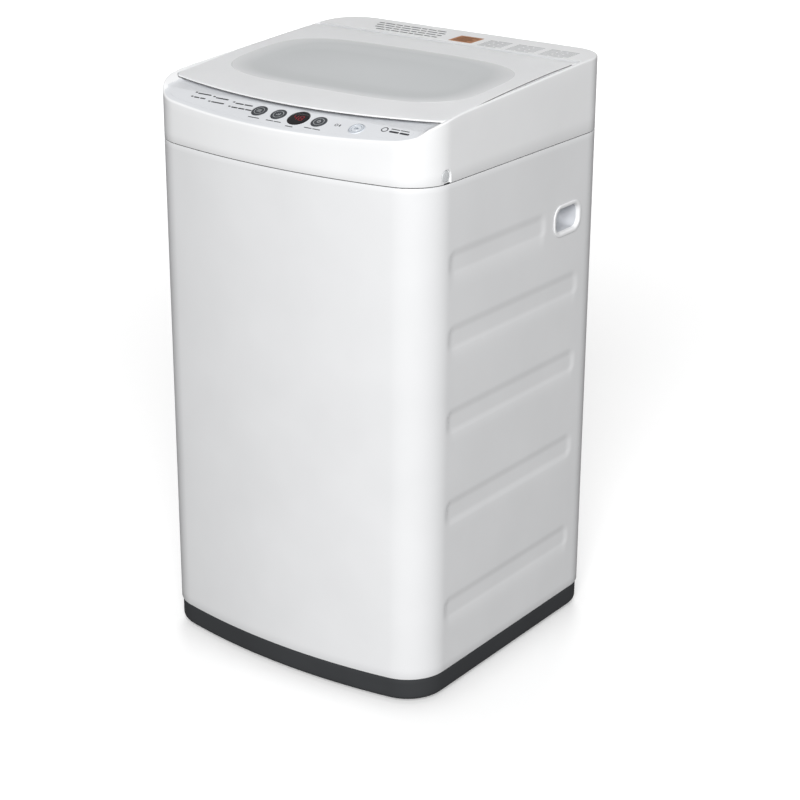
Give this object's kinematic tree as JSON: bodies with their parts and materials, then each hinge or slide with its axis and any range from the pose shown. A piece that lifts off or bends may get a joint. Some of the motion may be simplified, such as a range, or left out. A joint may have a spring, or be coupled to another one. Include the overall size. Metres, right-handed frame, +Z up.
{
  "type": "portable top-load washer",
  "caption": "Compact white top-load washer: bowed cabinet on a dark base, sloping control panel, window lid, hung tub, spinning basket and belt drive.",
  "frame": {"origin": "centre of the bounding box's underside, on the floor between the feet", "axes": "+Z up, -Y towards the bowed front and control panel, +X to the right seen from the front"},
  "size_m": [0.4466, 0.46, 0.804],
  "materials": {
    "white_shell": "satin white",
    "panel_film": "smooth white film",
    "lid_glazing": "translucent grey",
    "base_grey": "dark grey, lightly textured",
    "foot_rubber": "matt black",
    "button_grey": "dark grey, printed ring",
    "display_black": "gloss black with red digits",
    "inner_plastic": "plain moulded",
    "basket_steel": "brushed stainless",
    "bright_steel": "zinc plated",
    "cast_metal": "as cast",
    "motor_metal": "painted grey",
    "board_green": "circuit board",
    "hose_grey": "corrugated grey"
  },
  "bodies": {
    "cabinet": {"cabinet_shell": "white_shell", "rear_panel": "white_shell", "base_plinth": "base_grey", "bottom_cover": "base_grey", "foot_front_left": "foot_rubber", "foot_rear_left": "foot_rubber", "foot_rear_right": "foot_rubber", "handle_cup_left": "white_shell", "handle_cup_right": "white_shell", "top_cover": "white_shell", "control_fascia": "panel_film", "display_lens": "display_black", "control_board": "board_green", "screw_cap_left": "white_shell", "screw_cap_right": "white_shell", "lid_sensor": "base_grey", "inlet_valve": "inner_plastic", "inlet_spout": "inner_plastic", "drain_outlet": "hose_grey", "cord_gland": "foot_rubber", "pressure_sensor": "inner_plastic", "capacitor": "cast_metal", "suspension_rod_front_left": "bright_steel", "suspension_rod_front_right": "bright_steel", "suspension_rod_rear_left": "bright_steel", "suspension_rod_rear_right": "bright_steel"},
    "leveling_foot": {"foot_front_right": "foot_rubber"},
    "lid": {"lid_frame": "white_shell", "lid_window": "lid_glazing", "lid_pin_left": "bright_steel", "lid_pin_right": "bright_steel", "lid_magnet": "cast_metal"},
    "program_key": {"program_button": "button_grey"},
    "level_key": {"level_button": "button_grey"},
    "option_key": {"option_button": "button_grey"},
    "start_key": {"start_button": "panel_film"},
    "tub": {"outer_tub": "inner_plastic", "tub_ring": "inner_plastic", "suspension_spring_front_left": "bright_steel", "suspension_spring_front_right": "bright_steel", "suspension_spring_rear_left": "bright_steel", "suspension_spring_rear_right": "bright_steel", "support_plate": "bright_steel", "gear_case": "cast_metal", "shaft_seal": "foot_rubber", "drive_belt": "foot_rubber", "motor": "motor_metal", "drain_valve": "inner_plastic", "drain_actuator": "inner_plastic", "drain_hose": "hose_grey"},
    "basket": {"spin_basket": "basket_steel", "balance_ring": "white_shell", "lint_filter": "inner_plastic"},
    "agitator": {"pulsator": "white_shell", "pulsator_screw": "bright_steel", "wash_shaft": "bright_steel", "drive_pulley": "cast_metal"},
    "motor_rotor": {"motor_pulley": "cast_metal"},
    "valve_stem": {"drain_stem": "bright_steel"},
    "clutch": {"clutch_lever": "bright_steel"}
  },
  "joints": [
    {"name": "lid_hinge", "type": "hinge", "parent": "cabinet", "child": "lid", "pos_m": [0, 0.1335, 0.7932], "axis": [-1, 0, 0], "range_deg": [0, 85]},
    {"name": "program_press", "type": "slide", "parent": "cabinet", "child": "program_key", "axis": [0, 0.3584, -0.9336], "range_m": [0, 0.0012], "stiffness_N_per_m": 800},
    {"name": "level_press", "type": "slide", "parent": "cabinet", "child": "level_key", "axis": [0, 0.3584, -0.9336], "range_m": [0, 0.0012], "stiffness_N_per_m": 800},
    {"name": "option_press", "type": "slide", "parent": "cabinet", "child": "option_key", "axis": [0, 0.3584, -0.9336], "range_m": [0, 0.0012], "stiffness_N_per_m": 800},
    {"name": "start_press", "type": "slide", "parent": "cabinet", "child": "start_key", "axis": [0, 0.3584, -0.9336], "range_m": [0, 0.0012], "stiffness_N_per_m": 800},
    {"name": "foot_turn", "type": "hinge", "parent": "cabinet", "child": "leveling_foot", "pos_m": [0.165, -0.165, 0], "axis": [0, 0, 1], "continuous": true},
    {"name": "tub_bounce", "type": "slide", "parent": "cabinet", "child": "tub", "axis": [0, 0, 1], "range_m": [-0.012, 0.01], "stiffness_N_per_m": 12000, "springref_m": 0.0129, "deforming": ["suspension_spring_front_left", "suspension_spring_front_right", "suspension_spring_rear_left", "suspension_spring_rear_right"]},
    {"name": "basket_spin", "type": "hinge", "parent": "tub", "child": "basket", "pos_m": [0, -0.014, 0.3], "axis": [0, 0, 1], "continuous": true},
    {"name": "agitator_spin", "type": "hinge", "parent": "tub", "child": "agitator", "pos_m": [0, -0.014, 0.3], "axis": [0, 0, 1], "continuous": true},
    {"name": "motor_spin", "type": "hinge", "parent": "tub", "child": "motor_rotor", "pos_m": [0, 0.116, 0.105], "axis": [0, 0, 1], "continuous": true},
    {"name": "drain_pull", "type": "slide", "parent": "tub", "child": "valve_stem", "axis": [0, -1, 0], "range_m": [0, 0.008], "stiffness_N_per_m": 400},
    {"name": "clutch_turn", "type": "hinge", "parent": "tub", "child": "clutch", "pos_m": [-0.066, -0.03, 0.219], "axis": [0, 0, 1], "range_deg": [0, 9]}
  ],
  "couplings": [
    {"joint": "motor_spin", "follows": "agitator_spin", "ratio": 3.4286},
    {"joint": "clutch_turn", "follows": "drain_pull", "rad_per_m": 16}
  ]
}
